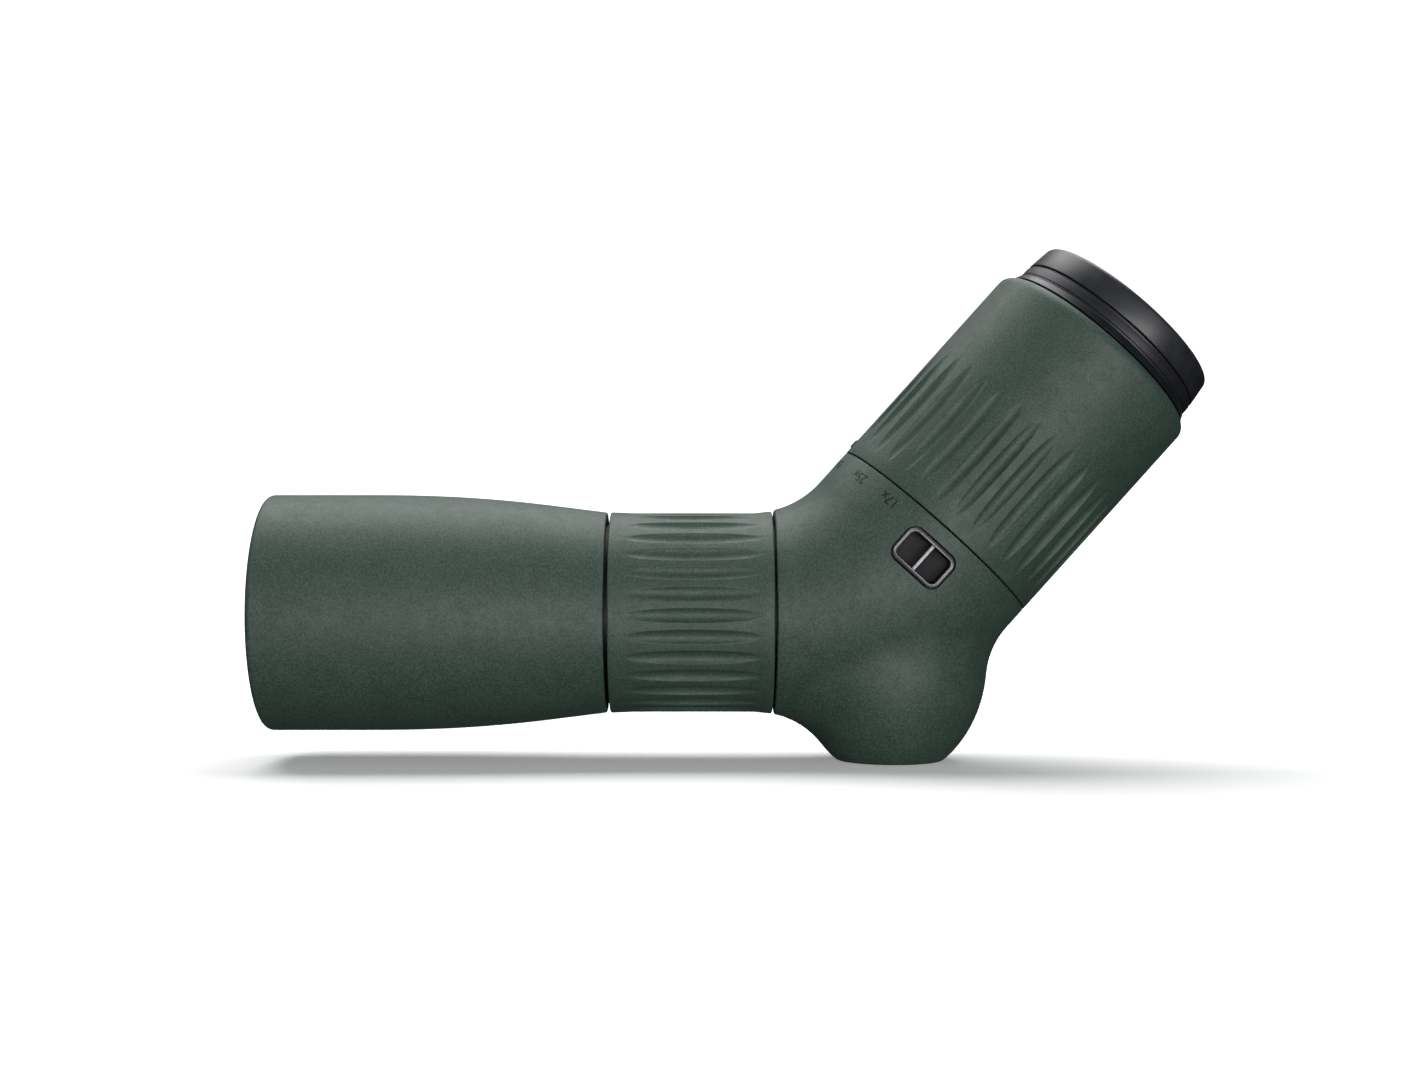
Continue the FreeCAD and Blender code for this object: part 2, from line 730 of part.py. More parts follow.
def prism_cage():
    x0 = housing_x + flange_x
    x1 = x0 + cage_flange_thick
    window = prism_half + cage_window_gap
    flange = barrel_cylinder(window + cage_flange_wall, x0, x1).cut(barrel_cylinder(window, x0 - 1, x1 + 1))
    top = cage_top()
    lower = apex + down * cage_depth
    outline = [V(x0, 0, barrel_z - cage_front_drop), V(x0, 0, top.z - cage_front_rise),
               top - along * cage_top_half, top + along * cage_top_half,
               lower + along * cage_arm, lower - along * cage_arm]
    side = Part.Face(Part.makePolygon(outline + outline[:1]))
    plates = []
    for y in (prism_half, -prism_half - cage_wall):
        plate = side.extrude(V(0, cage_wall, 0))
        plate.translate(V(0, y, 0))
        plates.append(plate)
    holes = [Part.makeCylinder(clamp_screw_r, clamp_screw_length, p, down) for p in clamp_screw_places()]
    return flange.fuse(plates).cut(holes)


def clamp_screw_places():
    return [cage_top() + V(0, s * (prism_half + cage_wall / 2), 0) for s in (-1, 1)]


def prism_clamp():
    length = 2 * (prism_half + cage_wall)
    strip = Part.makeBox(clamp_width, length, clamp_thick, V(-clamp_width / 2, -length / 2, 0))
    strip.rotate(V(0, 0, 0), V(0, 1, 0), -tilt / 2)
    strip.translate(cage_top())
    holes = [Part.makeCylinder(clamp_screw_r, 4 * clamp_thick, p - down * 2 * clamp_thick, down)
             for p in clamp_screw_places()]
    return strip.cut(holes)


def prism_screws():
    screws = []
    for p in clamp_screw_places():
        seat = p - down * clamp_thick
        head = Part.makeCylinder(clamp_head_r, clamp_head_high, seat - down * clamp_head_high, down)
        shank = Part.makeCylinder(clamp_screw_r, clamp_thick + clamp_screw_length, seat, down)
        screws.append(head.fuse(shank))
    return Part.makeCompound(screws)


# zoom eyepiece

field_angles = (0, 180)
variator_angles = (90, 270)
cup_pin_angle = 135


def key_slots(width, r0, r1, t0, t1):
    """Two bars along the axis, for the keys or for the ways that they slide in."""
    bars = []
    for angle in (key_angle, key_angle + 180):
        bar = Part.makeBox(t1 - t0, r1 - r0, width, V(t0, r0, -width / 2))
        bar.rotate(V(0, 0, 0), V(1, 0, 0), angle)
        bars.append(bar)
    return bars


def carrier_slot(middle, per_rad, angle):
    ends = sorted(middle + per_rad * math.radians(a) for a in (zoom_low, zoom_high))
    return straight_slot(eye_bore - 2, eye_tube_r + 2, ends[0], ends[1], slot_width, angle)


def eyepiece_tube():
    start = housing_t - flange_t
    shoulder = start + eye_flange_thick
    lip_r = eye_bore - eye_flange_bore
    lip_t = start + eye_flange_bore
    tube = turned((start, lip_r), (start, eye_flange_r), (shoulder, eye_flange_r), (shoulder, eye_tube_r),
                  (base_t, eye_tube_r), (base_t, eye_bore), (lip_t, eye_bore), (lip_t, lip_r))
    cuts = [carrier_slot(field_t, field_per_rad, a) for a in field_angles]
    cuts += [carrier_slot(variator_t, variator_per_rad, a) for a in variator_angles]
    cuts += key_slots(key_width + key_play, eye_bore - 1, eye_bore + key_high + key_play,
                      key_top_t - key_length - key_play, base_t + 1)
    cuts.append(spoke(eye_bore - 2, eye_tube_r + 1, pin_r, cup_pin_t, cup_pin_angle))
    cuts.append(o_ring_groove(zoom_start_t + zoom_seal_inset, eye_tube_r))
    return in_eyepiece(tube.cut(cuts))


def zoom_seal():
    return in_eyepiece(o_ring(zoom_start_t + zoom_seal_inset, eye_tube_r))


def zoom_cam_ring():
    cam = ring(zoom_start_t, zoom_end_t - end_gap, cam_r, eye_tube_r + run)
    r0 = eye_tube_r - 1
    r1 = eye_tube_r + run + groove_depth
    cuts = []
    for angle in field_angles:
        cuts += cam_groove(r0, r1, slot_width, field_t, angle, zoom_low, zoom_high, field_per_rad)
    for angle in variator_angles:
        cuts += cam_groove(r0, r1, slot_width, variator_t, angle, zoom_low, zoom_high, variator_per_rad)
    return in_eyepiece(cut_in_turn(cam, cuts))


def zoom_nub():
    corner = V(nub_t - nub_length / 2, -nub_width / 2, eye_r - nub_root)
    nub = Part.makeBox(nub_length, nub_width, nub_root + nub_high, corner)
    return nub.makeFillet(nub_round, [e for e in nub.Edges if e.BoundBox.ZMin > eye_r])


def zoom_ring_grip():
    grip = turned(
        (zoom_start_t, cam_r), (zoom_start_t, eye_r - grip_edge),
        [(zoom_start_t, eye_r), (zoom_start_t + grip_edge, eye_r)], (zoom_end_t - zoom_round, eye_r),
        [(zoom_end_t, eye_r), (zoom_end_t, eye_r - zoom_end_step)], (zoom_end_t, cam_r))
    cutters = scallop_cutters(
        zoom_scallops, eye_r, zoom_scallop_t, zoom_scallop_length, zoom_scallop_depth, 90)
    return in_eyepiece(grip.cut(cutters).fuse(zoom_nub()))


def carrier(middle, angles):
    t0 = middle - carrier_length / 2
    t1 = middle + carrier_length / 2
    seat_t = t0 + carrier_floor
    lip = carrier_lens_r - small_lip
    body = turned((t0, lip), (t0, sleeve_r), (t1, sleeve_r), (t1, carrier_lens_r), (seat_t, carrier_lens_r),
                  (seat_t, lip))
    return in_eyepiece(body.cut(cross_pins(eye_bore - pin_grip, eye_bore + 1, middle, angles)))


def carrier_pins(middle, angles):
    tip = eye_tube_r + run + groove_depth - pin_short
    return in_eyepiece(Part.makeCompound(cross_pins(eye_bore - pin_grip, tip, middle, angles)))


def carrier_lens(middle, bulge):
    seat_t = middle - carrier_length / 2 + carrier_floor
    return in_eyepiece(lens(seat_t, carrier_lens_edge, carrier_lens_r, small_lip, bulge, bulge))


def field_stop():
    back_t = stop_t + stop_thick
    return in_eyepiece(turned((stop_t, stop_r), (stop_t, eye_bore), (back_t, eye_bore),
                              (back_t, eye_bore - stop_rim), (stop_t + stop_edge, stop_r)))


bezel_t = cup_start_t - bezel_thick - bezel_depth
inner_lens_t = cell_t + inner_lens_rise
outer_lens_t = bezel_t - outer_lens_edge


def eye_lens_cell():
    lip = eye_lens_r - small_lip
    flange_top = cell_t + cell_flange
    cell = turned((cell_t, lip), (cell_t, eye_bore), (flange_top, eye_bore), (flange_top, eye_cell_r),
                  (bezel_t, eye_cell_r), (bezel_t, eye_lens_r), (inner_lens_t, eye_lens_r),
                  (inner_lens_t, lip))
    return in_eyepiece(cell.cut(o_ring_groove(cell_t + cell_flange / 2, eye_bore)))


def eye_lens_seal():
    return in_eyepiece(o_ring(cell_t + cell_flange / 2, eye_bore))


def eye_lens_inner():
    return in_eyepiece(lens(inner_lens_t, inner_lens_edge, eye_lens_r, small_lip, inner_bulge, inner_bulge))


def eye_lens_spacer():
    start = inner_lens_t + inner_lens_edge
    return in_eyepiece(ring(start, outer_lens_t, eye_lens_r, eye_lens_r - small_lip))


def eye_lens_outer():
    back = -outer_hollow
    return in_eyepiece(lens(outer_lens_t, outer_lens_edge, eye_lens_r, small_lip, back, back))


def eye_lens_bezel():
    top = bezel_t + bezel_thick
    return in_eyepiece(turned((bezel_t, eye_lens_r - small_lip), (bezel_t, bezel_r), (top, bezel_r),
                              (top, eye_lens_r + small_lip)))


# eyecup

def collar_ring():
    return in_eyepiece(turned(
        (collar_t, eye_tube_r), (collar_t, collar_r), (base_t - collar_round, collar_r),
        [(base_t, collar_r), (base_t, collar_r - collar_round)], (base_t, eye_tube_r)))


def eyecup_base():
    band_end = base_t + base_length
    top = cup_start_t - end_gap
    return in_eyepiece(turned(
        (base_t, eye_bore), (base_t, base_r), (band_end, base_r), (band_end, groove_floor_r),
        (top, groove_floor_r), (top, eye_bore)))


def eyecup_guide_pin():
    return in_eyepiece(spoke(eye_bore - pin_reach, eye_tube_r - pin_short, pin_r, cup_pin_t, cup_pin_angle))


def eyecup_sleeve():
    ledge_r = cup_r - cup_wall - cup_bond
    top = cup_start_t + sleeve_flange
    tube = turned((sleeve_start_t, sleeve_bore), (sleeve_start_t, sleeve_r), (cup_start_t, sleeve_r),
                  (cup_start_t, ledge_r), (top, ledge_r), (top, sleeve_bore))
    floor_r = eye_bore - pin_reach - groove_floor
    groove = cam_groove(
        floor_r, eye_bore + 1, slot_width, cup_pin_t, cup_pin_angle, 0, cup_turn, -cup_per_rad)
    return in_eyepiece(cut_in_turn(tube, groove))


def eyecup_rubber():
    inside_r = cup_r - cup_wall - cup_bond
    top = cup_start_t + sleeve_flange
    lip_r = cup_rim_r - cup_wall
    return in_eyepiece(turned(
        (cup_start_t, inside_r), (cup_start_t, cup_r), (cup_t - cup_round, cup_rim_r),
        [(cup_t, cup_rim_r), (cup_t, cup_rim_r - cup_wall / 2)], [(cup_t, lip_r), (cup_t - cup_lip, lip_r)],
        (top, sleeve_bore + cup_foot), (top, inside_r)))


def eyecup_key_ring():
    foot = key_top_t - key_length
    boss_top = key_top_t + key_boss
    boss_r = sleeve_bore - run
    inner = eye_cell_r + slack
    body = turned((foot, inner), (foot, sleeve_r), (key_top_t, sleeve_r), (key_top_t, boss_r),
                  (boss_top, boss_r), (boss_top, inner))
    keys = key_slots(key_width, inner + 1, eye_bore + key_high, foot, key_top_t)
    return in_eyepiece(body.fuse(keys))


def main():
    os.makedirs("parts", exist_ok=True)
    pieces = {
        "objective_armour": objective_armour(),
        "objective_tube": objective_tube(),
        "objective_cell": objective_cell(),
        "crown_lens": crown_lens(),
        "lens_spacer": lens_spacer(),
        "flint_lens": flint_lens(),
        "objective_retainer": objective_retainer(),
        "objective_seal": objective_seal(),
        "light_baffle": light_baffle(),
        "guide_tube": guide_tube(),
        "focus_seals": focus_seals(),
        "focus_ring_core": focus_ring_core(),
        "focus_ring_grip": focus_ring_grip(),
        "focus_carriage": focus_carriage(),
        "focusing_lens": focusing_lens(),
        "focus_lens_retainer": focus_lens_retainer(),
        "focus_pins": focus_pins(),
        "prism_housing": prism_housing(),
        "fill_screw": fill_screw(),
        "housing_armour": housing_armour(),
        "foot_plate": foot_plate(),
        "foot_screws": foot_screws(),
        "tripod_bush": tripod_bush(),
        "roof_prism": roof_prism(),
        "prism_cage": prism_cage(),
        "prism_clamp": prism_clamp(),
        "prism_screws": prism_screws(),
        "eyepiece_tube": eyepiece_tube(),
        "zoom_seal": zoom_seal(),
        "zoom_cam_ring": zoom_cam_ring(),
        "zoom_ring_grip": zoom_ring_grip(),
        "field_carrier": carrier(field_t, field_angles),
        "field_lens": carrier_lens(field_t, field_bulge),
        "field_pins": carrier_pins(field_t, field_angles),
        "variator_carrier": carrier(variator_t, variator_angles),
        "variator_lens": carrier_lens(variator_t, variator_bulge),
        "variator_pins": carrier_pins(variator_t, variator_angles),
        "field_stop": field_stop(),
        "eye_lens_cell": eye_lens_cell(),
        "eye_lens_seal": eye_lens_seal(),
        "eye_lens_inner": eye_lens_inner(),
        "eye_lens_spacer": eye_lens_spacer(),
        "eye_lens_outer": eye_lens_outer(),
        "eye_lens_bezel": eye_lens_bezel(),
        "collar_ring": collar_ring(),
        "eyecup_base": eyecup_base(),
        "eyecup_guide_pin": eyecup_guide_pin(),
        "eyecup_sleeve": eyecup_sleeve(),
        "eyecup_rubber": eyecup_rubber(),
        "eyecup_key_ring": eyecup_key_ring(),
    }
    for name, side in (("left", -1), ("right", 1)):
        pieces["strap_frame_" + name] = strap_frame(side)
        pieces["strap_pocket_" + name] = strap_pocket(side)
        pieces["strap_bar_" + name] = strap_bar(side)
    for name, shape in pieces.items():
        shape.exportStep("parts/" + name + ".step")
        state = "valid" if shape.isValid() else "not valid"
        print(name, len(shape.Solids), "solid", round(shape.Volume / 1000, 3), "cm3", state)


main()
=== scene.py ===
import bpy
import json
import math
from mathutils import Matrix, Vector


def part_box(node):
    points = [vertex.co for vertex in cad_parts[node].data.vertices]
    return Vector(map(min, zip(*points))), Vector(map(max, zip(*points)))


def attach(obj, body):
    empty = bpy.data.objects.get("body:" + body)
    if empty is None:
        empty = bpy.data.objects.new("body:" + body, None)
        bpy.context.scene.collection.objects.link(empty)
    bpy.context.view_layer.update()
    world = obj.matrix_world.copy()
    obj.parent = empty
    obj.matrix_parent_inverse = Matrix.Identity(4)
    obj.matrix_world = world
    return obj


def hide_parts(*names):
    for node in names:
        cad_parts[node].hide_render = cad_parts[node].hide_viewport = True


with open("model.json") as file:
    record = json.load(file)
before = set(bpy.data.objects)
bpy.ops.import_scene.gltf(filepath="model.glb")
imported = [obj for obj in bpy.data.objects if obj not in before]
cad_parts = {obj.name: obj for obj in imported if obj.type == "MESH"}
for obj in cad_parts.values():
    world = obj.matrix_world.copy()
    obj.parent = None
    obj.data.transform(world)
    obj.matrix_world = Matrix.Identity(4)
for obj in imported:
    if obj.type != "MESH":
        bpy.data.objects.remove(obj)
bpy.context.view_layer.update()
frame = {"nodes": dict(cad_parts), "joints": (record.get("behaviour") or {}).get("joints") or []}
print("frame loaded,", len(frame["nodes"]), "nodes")

mm = 0.001
barrelDirection = Vector((1, 0, 0))


def reach(node, origin, direction):  # where a node starts and ends along an axis, in millimetres
    alongs = [(vertex.co - origin).dot(direction) / mm for vertex in frame["nodes"][node].data.vertices]
    return min(alongs), max(alongs)


joints = {joint["name"]: joint for joint in frame["joints"]}
armourLow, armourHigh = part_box("objective_armour")
barrelZ = (armourLow.z + armourHigh.z) / 2
barrelOrigin = Vector((0, 0, barrelZ))
eyeDirection = Vector(joints["zoom_turn"]["axis"]).normalized()
tilt = math.atan2(eyeDirection.z, eyeDirection.x)
zoomPlace = Vector(joints["zoom_turn"]["pos_m"])
elbow = zoomPlace - eyeDirection * ((zoomPlace.z - barrelZ) / eyeDirection.z)


def barrelReach(node):
    return reach(node, barrelOrigin, barrelDirection)


def eyeReach(node):
    return reach(node, elbow, eyeDirection)


def offBarrel(co):  # how far a place is from the barrel's axis, in millimetres
    return math.hypot(co.y, co.z - barrelZ) / mm


def offEye(co):
    place = co - elbow
    return (place - eyeDirection * place.dot(eyeDirection)).length / mm


# selecting, starting and finishing a piece

def deselectAll():
    if bpy.context.object and bpy.context.object.mode != "OBJECT":
        bpy.ops.object.mode_set(mode="OBJECT")
    bpy.ops.object.select_all(action="DESELECT")


def named(name):  # the object that was just added
    piece = bpy.context.object
    piece.name = name
    piece.data.name = name
    return piece


def pick(piece, kind, test):  # selects by place or normal, and leaves the piece in edit mode
    bpy.ops.object.mode_set(mode="OBJECT")
    mesh = piece.data
    groups = {"VERT": mesh.vertices, "EDGE": mesh.edges, "FACE": mesh.polygons}
    for group in groups.values():
        group.foreach_set("select", [False] * len(group))
    for part in groups[kind]:
        part.select = test(part)
    bpy.context.tool_settings.mesh_select_mode = [kind == each for each in ("VERT", "EDGE", "FACE")]
    bpy.ops.object.mode_set(mode="EDIT")


def ends(piece, edge):  # an edge's two ends
    return [piece.data.vertices[end].co for end in edge.vertices]


def cleanUp(doubles=0.0005 * mm):
    bpy.ops.mesh.select_all(action="SELECT")
    bpy.ops.mesh.remove_doubles(threshold=doubles)
    bpy.ops.mesh.normals_make_consistent(inside=False)


def smooth(piece, degrees=35):
    deselectAll()
    piece.select_set(True)
    bpy.context.view_layer.objects.active = piece
    bpy.ops.object.shade_smooth_by_angle(angle=math.radians(degrees))


def applyPlace(piece, rotation=(0, 0, 0), location=(0, 0, 0)):
    deselectAll()
    piece.select_set(True)
    bpy.context.view_layer.objects.active = piece
    piece.rotation_euler = rotation
    piece.location = location
    bpy.ops.object.transform_apply(location=True, rotation=True, scale=True)


def ontoBarrel(piece):
    applyPlace(piece, location=barrelOrigin)


def ontoEyepiece(piece):
    applyPlace(piece, rotation=(0, -tilt, 0), location=elbow)


def finish(piece, material, body, nodes=()):
    piece.data.materials.clear()
    piece.data.materials.append(material)
    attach(piece, body)
    if nodes:
        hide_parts(*nodes)


# materials

def linear(code):  # an sRGB hex colour as the linear values that a shader wants
    values = [int(code[i:i + 2], 16) / 255 for i in (1, 3, 5)]
    return [v / 12.92 if v <= 0.04045 else ((v + 0.055) / 1.055) ** 2.4 for v in values] + [1]


def perMetre(size):  # a pattern's scale, from the size of one of its cells in millimetres
    return 1 / (size * mm)


def addNode(tree, kind, inputs=None, **settings):
    node = tree.nodes.new(kind)
    for key, value in settings.items():
        setattr(node, key, value)
    for key, value in (inputs or {}).items():
        if isinstance(value, bpy.types.NodeSocket):
            tree.links.new(value, node.inputs[key])
        else:
            node.inputs[key].default_value = value
    return node


def newMaterial(name, **values):  # a principled material whose even values stand on the shader's own sockets
    material = bpy.data.materials.new(name)
    material.use_nodes = True
    tree = material.node_tree
    shader = tree.nodes["Principled BSDF"]
    for key, value in values.items():
        shader.inputs[key.replace("_", " ")].default_value = value
    return material, tree, shader


def noiseOf(tree, size, detail=3.0):  # cloudy noise in the object's own space
    place = addNode(tree, "ShaderNodeTexCoord").outputs["Object"]
    return addNode(tree, "ShaderNodeTexNoise", {
        "Vector": place, "Scale": perMetre(size), "Detail": detail}).outputs[0]


def ranged(tree, value, low, high, fromLow=0.3, fromHigh=0.7):
    return addNode(tree, "ShaderNodeMapRange", {
        "Value": value, "From Min": fromLow, "From Max": fromHigh, "To Min": low, "To Max": high}).outputs[0]


def tinted(tree, share, dark, light):
    mix = addNode(tree, "ShaderNodeMix", {0: share, 6: linear(dark), 7: linear(light)}, data_type="RGBA")
    return mix.outputs[2]


def bumped(tree, shader, height, deep):  # deep is the relief's height in millimetres
    bump = addNode(tree, "ShaderNodeBump", {"Height": height, "Distance": deep * mm})
    tree.links.new(bump.outputs[0], shader.inputs["Normal"])


def rubberArmour(name, values):
    # Dark green rubber moulded over the metal. The mould was spark-etched, which leaves a fine sandy
    # grain: highlights spread wide and soft. The grain's height also sets the colour, as painted
    # highlight specks on the tops of the grain and painted shade in its hollows, over a random cloud of
    # tone. Such grain is a few tenths of a millimetre across, too fine to show, so it is drawn at 0.5 to 0.6
    # mm.
    material, tree, shader = newMaterial(
        name, IOR=1.5, Specular_IOR_Level=values["specular"], Sheen_Weight=values["sheen"],
        Sheen_Roughness=0.5, Sheen_Tint=linear(values["sheenTint"]))
    sand = noiseOf(tree, values["grain"])
    bumped(tree, shader, sand, values["deep"])
    cloud = noiseOf(tree, values["cloud"])
    # the grain's height paints highlight specks on its tops and shade in its hollows; the cloud adds random
    # tone
    glintShadeAndMottle = addNode(tree, "ShaderNodeMath", {0: sand, 1: values["grainGlintAndShadeWeight"], 2: cloud},
                    operation="MULTIPLY_ADD").outputs[0]
    share = ranged(tree, glintShadeAndMottle, 0.0, 1.0, *values["glintShadeAndMottleRange"])
    tree.links.new(tinted(tree, share, values["dark"], values["light"]), shader.inputs["Base Color"])
    rough = ranged(tree, noiseOf(tree, 3.0, 4.0), values["rough"] - 0.04, values["rough"] + 0.05)
    tree.links.new(rough, shader.inputs["Roughness"])
    return material


def turnedMetal(name, values):
    # Metal turned, ground, cast or bead-blasted and then finished: fine grains that break up its highlight.
    material, tree, shader = newMaterial(name, Metallic=values["metallic"])
    grain = noiseOf(tree, values["grain"])
    bumped(tree, shader, grain, values["deep"])
    cloud = noiseOf(tree, 6.0)
    tree.links.new(tinted(tree, ranged(tree, cloud, 0.0, 1.0), values["dark"], values["light"]),
                   shader.inputs["Base Color"])
    tree.links.new(ranged(tree, grain, values["rough"] - 0.05, values["rough"] + 0.06),
                   shader.inputs["Roughness"])
    return material


def softRubber(name, values):
    # Moulded black elastomer: even, faintly mottled, with a satin skin from the mould.
    material, tree, shader = newMaterial(name, IOR=1.5, Specular_IOR_Level=values["specular"])
    skin = noiseOf(tree, values["grain"])
    bumped(tree, shader, skin, values["deep"])
    cloud = noiseOf(tree, 5.0)
    tree.links.new(tinted(tree, ranged(tree, cloud, 0.0, 1.0), values["dark"], values["light"]),
                   shader.inputs["Base Color"])
    tree.links.new(ranged(tree, cloud, values["rough"] - 0.04, values["rough"] + 0.04),
                   shader.inputs["Roughness"])
    return material


def opticalGlass(name, values):
    # Polished optical glass under a multilayer coating, which reflects a thin green or violet tint.
    material, tree, shader = newMaterial(
        name, IOR=1.52, Transmission_Weight=1.0, Base_Color=linear(values["tint"]),
        Thin_Film_Thickness=values["film"], Thin_Film_IOR=1.38)
    haze = noiseOf(tree, 7.0, 2.0)
    tree.links.new(ranged(tree, haze, 0.0, values["haze"]), shader.inputs["Roughness"])
    return material


# the grain weight and the range below set how strongly painted grain highlight and shade show in the colour,
# beside random mottling
armourLook = {"dark": "#293930", "light": "#3a4e43", "grain": 0.6, "cloud": 8.0, "grainGlintAndShadeWeight": 4.0,
              "glintShadeAndMottleRange": (2.0, 3.05), "deep": 0.05, "rough": 0.60, "specular": 0.5, "sheen": 0.05,
              "sheenTint": "#8fa39a"}
armourRubber = rubberArmour("moulded_armour_rubber", armourLook)
gripRubber = rubberArmour("moulded_grip_rubber", {**armourLook, "grain": 0.5})
blackAnodised = turnedMetal("black_anodised_aluminium", {
    "metallic": 0.6, "dark": "#0d0d0e", "light": "#17181a", "grain": 0.3, "deep": 0.01, "rough": 0.5})
blackBlasted = turnedMetal("blasted_black_anodised_aluminium", {
    "metallic": 0.35, "dark": "#1c1d20", "light": "#27282c", "grain": 0.4, "deep": 0.012, "rough": 0.46})
glossBlack = turnedMetal("polished_black_anodised_aluminium", {
    "metallic": 0.4, "dark": "#141518", "light": "#1f2024", "grain": 0.5, "deep": 0.003, "rough": 0.34})
bareAluminium = turnedMetal("turned_aluminium", {
    "metallic": 1.0, "dark": "#a9abad", "light": "#c9cbcd", "grain": 0.25, "deep": 0.01, "rough": 0.34})
castAlloy = turnedMetal("cast_magnesium_alloy", {
    "metallic": 0.9, "dark": "#4c4e50", "light": "#68696b", "grain": 0.9, "deep": 0.05, "rough": 0.55})
groundSteel = turnedMetal("ground_stainless_steel", {
    "metallic": 1.0, "dark": "#5b5d60", "light": "#74767a", "grain": 0.2, "deep": 0.006, "rough": 0.44})
satinZinc = turnedMetal("satin_grey_zinc_casting", {
    "metallic": 0.85, "dark": "#4d4b4e", "light": "#5c5a5d", "grain": 0.35, "deep": 0.008, "rough": 0.42})
cupRubber = softRubber("eyecup_elastomer", {
    "dark": "#1c1d20", "light": "#26272b", "grain": 0.45, "deep": 0.012, "rough": 0.42, "specular": 0.5})
sealRubber = softRubber("seal_nitrile_rubber", {
    "dark": "#0c0c0d", "light": "#141415", "grain": 0.5, "deep": 0.01, "rough": 0.5, "specular": 0.4})
pocketPlastic = softRubber("moulded_black_nylon", {
    "dark": "#0f0f12", "light": "#17171a", "grain": 0.5, "deep": 0.015, "rough": 0.6, "specular": 0.2})
scaleInk = softRubber("engraved_scale_paint", {
    "dark": "#0e1411", "light": "#161d19", "grain": 0.5, "deep": 0.004, "rough": 0.7, "specular": 0.3})
coatedGlass = opticalGlass("coated_crown_glass", {"tint": "#f4fbf6", "film": 330.0, "haze": 0.02})
clearGlass = opticalGlass("inner_optical_glass", {"tint": "#f7fbf9", "film": 0.0, "haze": 0.02})

finishes = {
    "green_armour": armourRubber, "black_anodised": blackAnodised, "bare_aluminium": bareAluminium,
    "cast_alloy": castAlloy, "steel": groundSteel, "satin_metal": satinZinc, "coated_glass": coatedGlass,
    "clear_glass": clearGlass, "seal_rubber": sealRubber, "gloss_black": glossBlack,
    "satin_black": blackBlasted, "cup_rubber": cupRubber,
}
for node in frame["nodes"].values():
    for materialSlot in node.material_slots:
        materialSlot.material = finishes[materialSlot.material.name]
print("materials made")


# turned and scalloped pieces

def arc(x, r, radius, start, end, steps):  # points of a rounding, in an outline of (along, radius) points
    angles = [math.radians(start + (end - start) * i / steps) for i in range(steps + 1)]
    return [(x + radius * math.cos(a), r + radius * math.sin(a)) for a in angles]


def drawOutline(name, outline):  # one closed outline in millimetres, drawn from a single point
    deselectAll()
    bpy.ops.mesh.primitive_plane_add(size=mm)
    piece = named(name)
    bpy.ops.object.mode_set(mode="EDIT")
    bpy.ops.mesh.select_mode(type="VERT")
    bpy.ops.mesh.select_all(action="SELECT")
    bpy.ops.mesh.merge(type="CENTER")
    here = outline[0]
    bpy.ops.transform.translate(value=(here[0] * mm, 0, here[1] * mm))
    for point in outline[1:] + outline[:1]:
        step = ((point[0] - here[0]) * mm, 0, (point[1] - here[1]) * mm)
        bpy.ops.mesh.extrude_region_move(TRANSFORM_OT_translate={"value": step})
        here = point
    bpy.ops.mesh.select_all(action="SELECT")
    bpy.ops.mesh.remove_doubles(threshold=0.0005 * mm)
    return piece


def turnPiece(name, outline, steps=180):
    piece = drawOutline(name, outline)
    bpy.ops.mesh.spin(steps=steps, angle=math.tau, center=(0, 0, 0), axis=(1, 0, 0))
    cleanUp()
    return piece


# columns run from a scallop's middle to its edge and just past it; margin is in millimetres, and the
# other two are shares of a scallop's width and of its half length
scallop = {"columns": [0, 0.25, 0.5, 0.7, 0.85, 0.94, 1.0, 1.05, 1.14], "margin": 0.1, "leastWide": 0.2,
           "pastEnd": 1.05}


